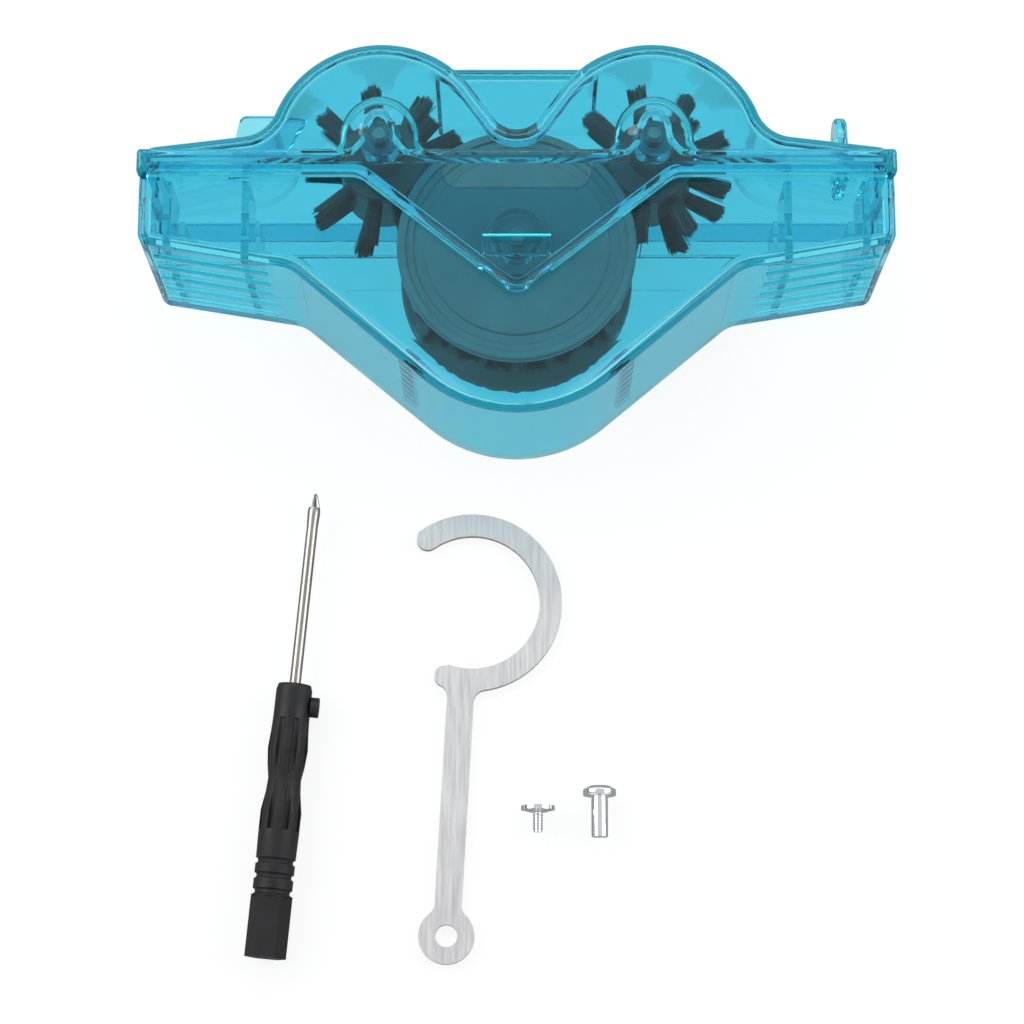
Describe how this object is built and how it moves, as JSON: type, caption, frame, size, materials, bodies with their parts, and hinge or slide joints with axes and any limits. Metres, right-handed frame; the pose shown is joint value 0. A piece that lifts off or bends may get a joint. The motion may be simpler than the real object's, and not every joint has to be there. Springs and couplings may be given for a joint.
{
  "type": "bike chain cleaner",
  "caption": "Clear casing of a tank and a lift-off cover with spinning brushes that scrub a bicycle chain, beside its steel hook, nut, screw and screwdriver.",
  "frame": {"origin": "centre of the layout's box, on the surface that the casing's back and the loose pieces lie on", "axes": "+X along the chain to the ear's side, +Y up the casing from the tank to the cover, +Z out of the casing's front"},
  "size_m": [0.175, 0.2102, 0.055],
  "materials": {
    "casing_plastic": "clear cyan polycarbonate, glossy",
    "grey_plastic": "dark moulded plastic",
    "black_plastic": "black moulded plastic",
    "bristle": "black nylon bristles",
    "steel": "satin stainless steel",
    "chrome": "bright nickel plate"
  },
  "bodies": {
    "cleaner": {"lower_tank": "casing_plastic", "left_baffles": "casing_plastic", "right_baffles": "casing_plastic", "axle_bosses": "casing_plastic", "hanger_hook": "steel", "barrel_nut": "chrome", "hanger_screw": "chrome", "screwdriver_blade": "steel", "screwdriver_handle": "black_plastic", "screwdriver_knob": "black_plastic"},
    "cover": {"upper_cover": "casing_plastic", "hanger_ear": "casing_plastic", "left_pin_bosses": "casing_plastic", "right_pin_bosses": "casing_plastic"},
    "main_wheel": {"wheel_front_disc": "grey_plastic", "wheel_rear_disc": "grey_plastic", "wheel_core": "black_plastic", "wheel_bristles": "bristle", "wheel_axle": "steel", "wheel_washers": "steel"},
    "left_brush": {"left_brush_drum": "black_plastic", "left_brush_bristles": "bristle", "left_brush_pin": "steel", "left_brush_washers": "steel"},
    "right_brush": {"right_brush_drum": "black_plastic", "right_brush_bristles": "bristle", "right_brush_pin": "steel", "right_brush_washers": "steel"}
  },
  "joints": [
    {"name": "cover_lift", "type": "slide", "parent": "cleaner", "child": "cover", "axis": [0, 1, 0], "range_m": [0, 0.07]},
    {"name": "wheel_spin", "type": "hinge", "parent": "cleaner", "child": "main_wheel", "pos_m": [0, 0.0582, 0.025], "axis": [0, 0, 1], "continuous": true},
    {"name": "left_brush_spin", "type": "hinge", "parent": "cover", "child": "left_brush", "pos_m": [-0.0318, 0.0812, 0.025], "axis": [0, 0, 1], "continuous": true},
    {"name": "right_brush_spin", "type": "hinge", "parent": "cover", "child": "right_brush", "pos_m": [0.0318, 0.0812, 0.025], "axis": [0, 0, 1], "continuous": true}
  ]
}
